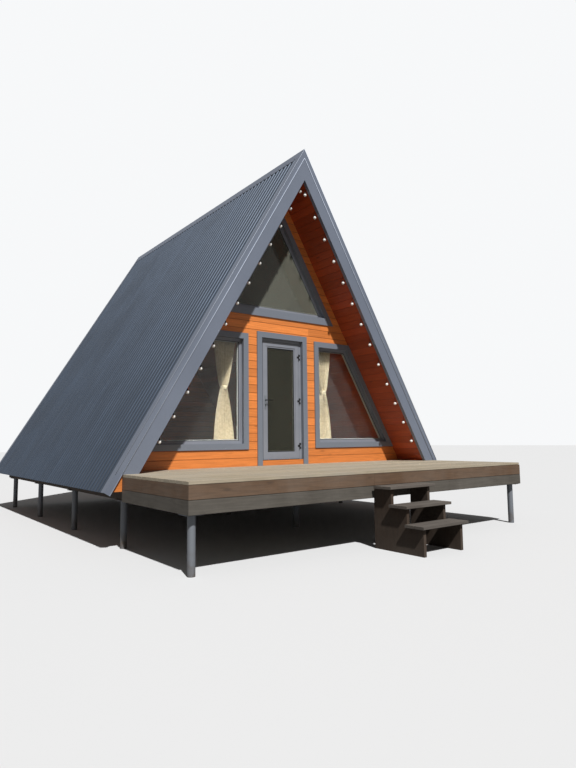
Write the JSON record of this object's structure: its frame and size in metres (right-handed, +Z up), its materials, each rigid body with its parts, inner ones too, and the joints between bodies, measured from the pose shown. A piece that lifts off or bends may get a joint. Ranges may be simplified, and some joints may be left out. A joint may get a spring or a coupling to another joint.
{
  "type": "a-frame cabin",
  "caption": "A-frame cabin with steep ribbed metal roof slopes, a boarded and glazed front gable with a hinged door, a timber deck and open steps, on steel piles.",
  "frame": {"origin": "on the ground, below the centre of the whole footprint, from the front of the steps to the back verge", "axes": "+Z up, +Y from the steps into the cabin along the ridge, +X to the right seen from the front"},
  "size_m": [6.5556, 9.638, 6.24],
  "materials": {
    "roof_metal": "satin coated ribbed steel, dark graphite",
    "casing_metal": "matt graphite coated steel over boards",
    "frame_plastic": "graphite foil on window profiles",
    "stained_wood": "orange-brown stained tongue and groove boards",
    "deck_wood": "weathered grey-brown boards",
    "frame_wood": "dark impregnated sawn timber",
    "pile_steel": "grey primed steel",
    "glass": "clear double glazing",
    "black_metal": "black coated hardware",
    "curtain_cloth": "cream woven cloth"
  },
  "bodies": {
    "cabin": {"house_floor": "deck_wood", "floor_frame": "frame_wood", "side_beams": "frame_wood", "deck_beams": "frame_wood", "cross_beams": "frame_wood", "deck_piles": "pile_steel", "house_piles": "pile_steel", "deck_floor": "deck_wood", "deck_frame": "frame_wood", "stair_treads": "deck_wood", "stair_stringers": "frame_wood", "roof_panel_left": "stained_wood", "roof_panel_right": "stained_wood", "roof_sheet_left": "roof_metal", "roof_sheet_right": "roof_metal", "ridge_cap": "roof_metal", "roof_lining_left": "stained_wood", "roof_lining_right": "stained_wood", "front_flashings": "roof_metal", "back_flashings": "roof_metal", "front_fascia_left": "roof_metal", "front_fascia_right": "roof_metal", "back_fascia_left": "roof_metal", "back_fascia_right": "roof_metal", "front_rafter_left": "stained_wood", "front_rafter_right": "stained_wood", "front_sills": "stained_wood", "front_piers": "stained_wood", "front_head_wall": "stained_wood", "front_peak_wall": "stained_wood", "back_wall": "stained_wood", "loft_floor": "stained_wood", "window_casings": "casing_metal", "upper_casing": "casing_metal", "door_casing": "casing_metal", "window_frames": "frame_plastic", "upper_frame": "frame_plastic", "door_frame": "frame_plastic", "window_panes": "glass", "upper_pane": "glass", "door_strip": "stained_wood", "hinge_plates": "black_metal", "back_casings": "casing_metal", "back_frames": "frame_plastic", "back_panes": "glass", "curtain_left": "curtain_cloth", "curtain_right": "curtain_cloth"},
    "door": {"door_leaf": "frame_plastic", "door_pane": "glass", "door_hinges": "black_metal", "handle_plates": "black_metal"},
    "handle": {"door_handle": "black_metal"}
  },
  "joints": [
    {"name": "door_swing", "type": "hinge", "parent": "cabin", "child": "door", "pos_m": [0.383, -1.478, 0.98], "axis": [0, 0, 1], "range_deg": [0, 100]},
    {"name": "handle_turn", "type": "hinge", "parent": "door", "child": "handle", "pos_m": [-0.329, -1.468, 2.06], "axis": [0, 1, 0], "range_deg": [0, 40], "stiffness_Nm_per_rad": 1}
  ]
}
